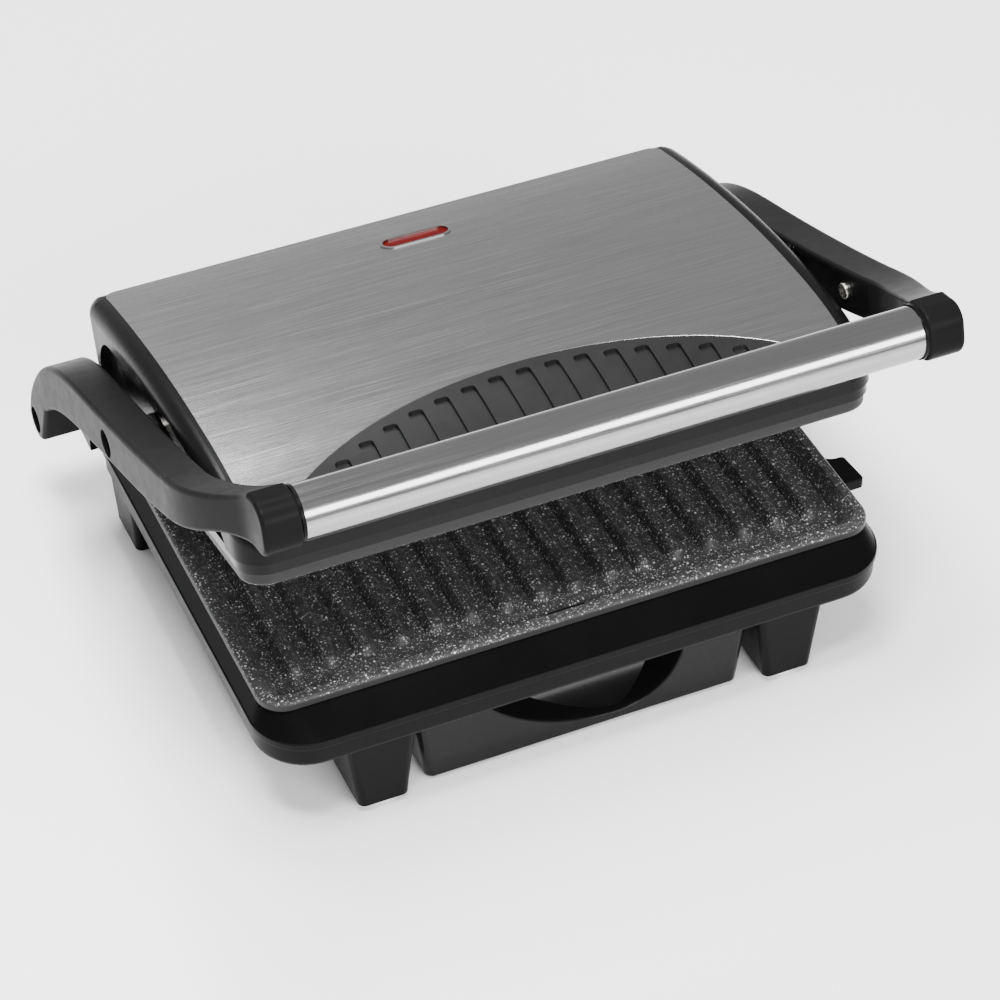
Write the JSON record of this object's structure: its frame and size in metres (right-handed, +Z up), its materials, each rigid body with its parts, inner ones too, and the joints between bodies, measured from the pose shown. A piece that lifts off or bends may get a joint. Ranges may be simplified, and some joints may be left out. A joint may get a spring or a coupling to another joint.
{
  "type": "panini press",
  "caption": "Contact panini press with a floating ribbed top plate on a U-shaped handle, ribbed lower plate, pull-out drip tray, side storage latch and brushed steel cover.",
  "frame": {"origin": "bottom centre of the whole press in its half-open rest pose, on the table", "axes": "+Z up; -Y towards the front, where the tube handle and the tray are; +X to the right of a person who faces the front"},
  "size_m": [0.294, 0.2514, 0.1832],
  "materials": {
    "satin_black": "satin moulded, charcoal black",
    "gloss_black": "polished",
    "stone_coating": "speckled non-stick coating on cast aluminium",
    "brushed_steel": "brushed along the width",
    "zinc_steel": "zinc plated",
    "pressed_aluminium": "mill",
    "heater_sheath": "heat-darkened",
    "clear_rubber": "translucent soft grip",
    "pale_nylon": "moulded",
    "wire_sleeve": "silicone sleeve",
    "red_lens": "translucent red"
  },
  "bodies": {
    "base": {"base_housing": "satin_black", "base_surround": "gloss_black", "cord_inlet_bush": "satin_black", "grease_chute": "pressed_aluminium", "hinge_bracket_left": "satin_black", "hinge_bracket_right": "satin_black", "hinge_pins": "zinc_steel", "lower_grill_plate": "stone_coating", "lower_heat_shield": "pressed_aluminium", "lower_heating_element": "heater_sheath", "lower_thermostat": "pressed_aluminium", "rubber_feet": "clear_rubber", "supply_wires": "wire_sleeve", "surround_screws": "zinc_steel", "terminal_block": "pale_nylon"},
    "tray": {"drip_tray": "satin_black"},
    "latch": {"side_latch": "satin_black"},
    "handle": {"right_arm": "satin_black", "left_arm": "satin_black", "right_arm_cover": "satin_black", "left_arm_cover": "satin_black", "arm_screws": "zinc_steel", "lid_pivot_pins": "zinc_steel", "handle_tube": "brushed_steel", "handle_end_rings": "satin_black", "handle_core_rod": "zinc_steel", "core_rod_nuts": "zinc_steel", "lid_lead": "wire_sleeve"},
    "lid": {"lid_housing": "satin_black", "lid_cover_plate": "brushed_steel", "vent_panel": "satin_black", "indicator_lens": "red_lens", "indicator_lamp": "pale_nylon", "lid_frame": "gloss_black", "lid_frame_screws": "zinc_steel", "upper_grill_plate": "stone_coating", "upper_heating_element": "heater_sheath", "upper_heat_shield": "pressed_aluminium", "upper_thermostat": "pressed_aluminium", "thermal_fuse": "pale_nylon", "pivot_bushes": "satin_black"}
  },
  "joints": [
    {"name": "handle_swing", "type": "hinge", "parent": "base", "child": "handle", "pos_m": [0, 0.11714, 0.045], "axis": [-1, 0, 0], "range_deg": [-13.5, 86.5]},
    {"name": "lid_tilt", "type": "hinge", "parent": "handle", "child": "lid", "pos_m": [0, 0.01489, 0.11171], "axis": [-1, 0, 0], "range_deg": [-2, 2]},
    {"name": "tray_slide", "type": "slide", "parent": "base", "child": "tray", "axis": [0, -1, 0], "range_m": [0, 0.135]},
    {"name": "latch_slide", "type": "slide", "parent": "base", "child": "latch", "axis": [0, 1, 0], "range_m": [0, 0.01]}
  ]
}
